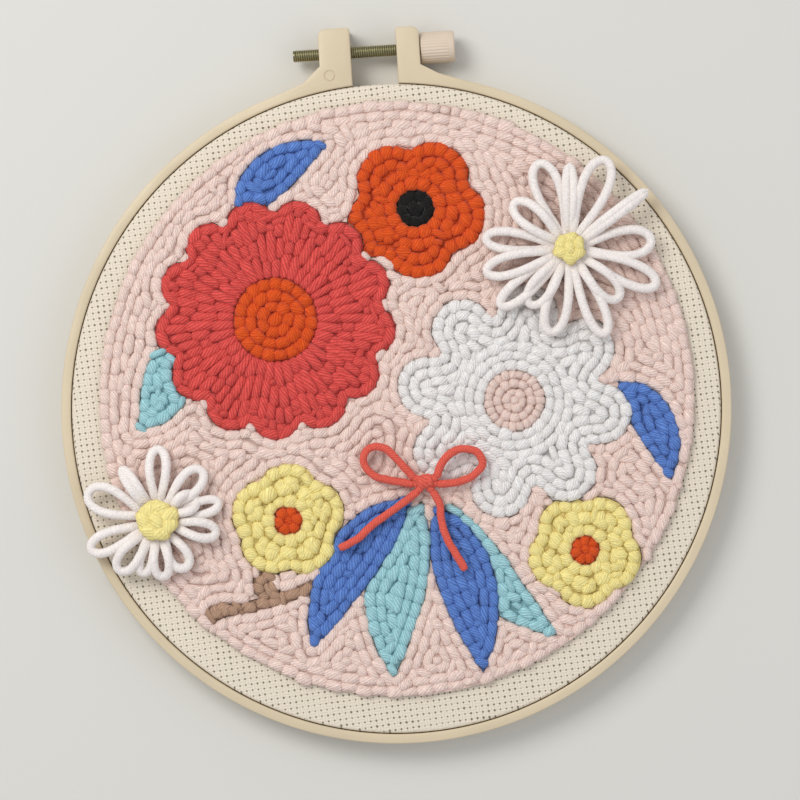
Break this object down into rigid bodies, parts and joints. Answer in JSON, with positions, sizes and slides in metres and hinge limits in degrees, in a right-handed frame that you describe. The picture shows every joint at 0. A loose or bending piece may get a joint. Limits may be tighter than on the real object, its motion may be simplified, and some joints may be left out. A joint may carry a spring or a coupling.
{
  "type": "punch needle wall piece in an embroidery hoop",
  "caption": "Round yarn picture of a tied flower posy, punched in even-weave cloth, with loose yarn daisies and a bow, held in a plastic hoop with a clamp screw.",
  "frame": {"origin": "middle of the bounding box in X and Y, on the surface that the hoop's back rests on", "axes": "+Z out of the picture's face, +Y towards the clamp screw at the top, +X to the right of the picture"},
  "size_m": [0.21, 0.2256, 0.0219],
  "materials": {
    "hoop_plastic": "satin moulded plastic, beige",
    "knob_plastic": "satin moulded plastic, ridged",
    "screw_steel": "plated thread, olive brass tone",
    "cloth": "even-weave cotton, cream",
    "yarn_pink": "soft twisted yarn",
    "yarn_coral": "soft twisted yarn",
    "yarn_white": "soft twisted yarn",
    "yarn_orange": "soft twisted yarn",
    "yarn_yellow": "soft twisted yarn",
    "yarn_blue": "soft twisted yarn",
    "yarn_light_blue": "soft twisted yarn",
    "yarn_brown": "soft twisted yarn",
    "yarn_black": "smooth close-laid yarn",
    "yarn_bow": "soft twisted yarn"
  },
  "bodies": {
    "hoop": {"outer_ring": "hoop_plastic", "inner_ring": "hoop_plastic", "cloth": "cloth", "dahlia_heart": "yarn_orange", "dahlia_petals": "yarn_coral", "cosmos_heart": "yarn_pink", "cosmos_petals": "yarn_white", "poppy_heart": "yarn_black", "poppy_petals": "yarn_orange", "buttercup_left_heart": "yarn_orange", "buttercup_left": "yarn_yellow", "buttercup_right_heart": "yarn_orange", "buttercup_right": "yarn_yellow", "leaf_low_left": "yarn_blue", "leaf_low_middle": "yarn_light_blue", "leaf_low_right": "yarn_blue", "leaf_far_right": "yarn_light_blue", "leaf_left": "yarn_light_blue", "leaf_top_left": "yarn_blue", "leaf_right": "yarn_blue", "sprig": "yarn_brown", "ground": "yarn_pink", "back_loops": "yarn_pink", "daisy_upper_petals": "yarn_white", "daisy_upper_heart": "yarn_yellow", "daisy_lower_petals": "yarn_white", "daisy_lower_heart": "yarn_yellow", "bow_knot": "yarn_bow", "bow_loop_left": "yarn_bow", "bow_loop_right": "yarn_bow", "bow_end_left": "yarn_bow", "bow_end_right": "yarn_bow"},
    "clamp_screw": {"screw": "screw_steel", "knob": "knob_plastic"}
  },
  "joints": [
    {"name": "clamp_turn", "type": "hinge", "parent": "hoop", "child": "clamp_screw", "pos_m": [0, 0.10495, 0.0055], "axis": [1, 0, 0], "continuous": true}
  ]
}
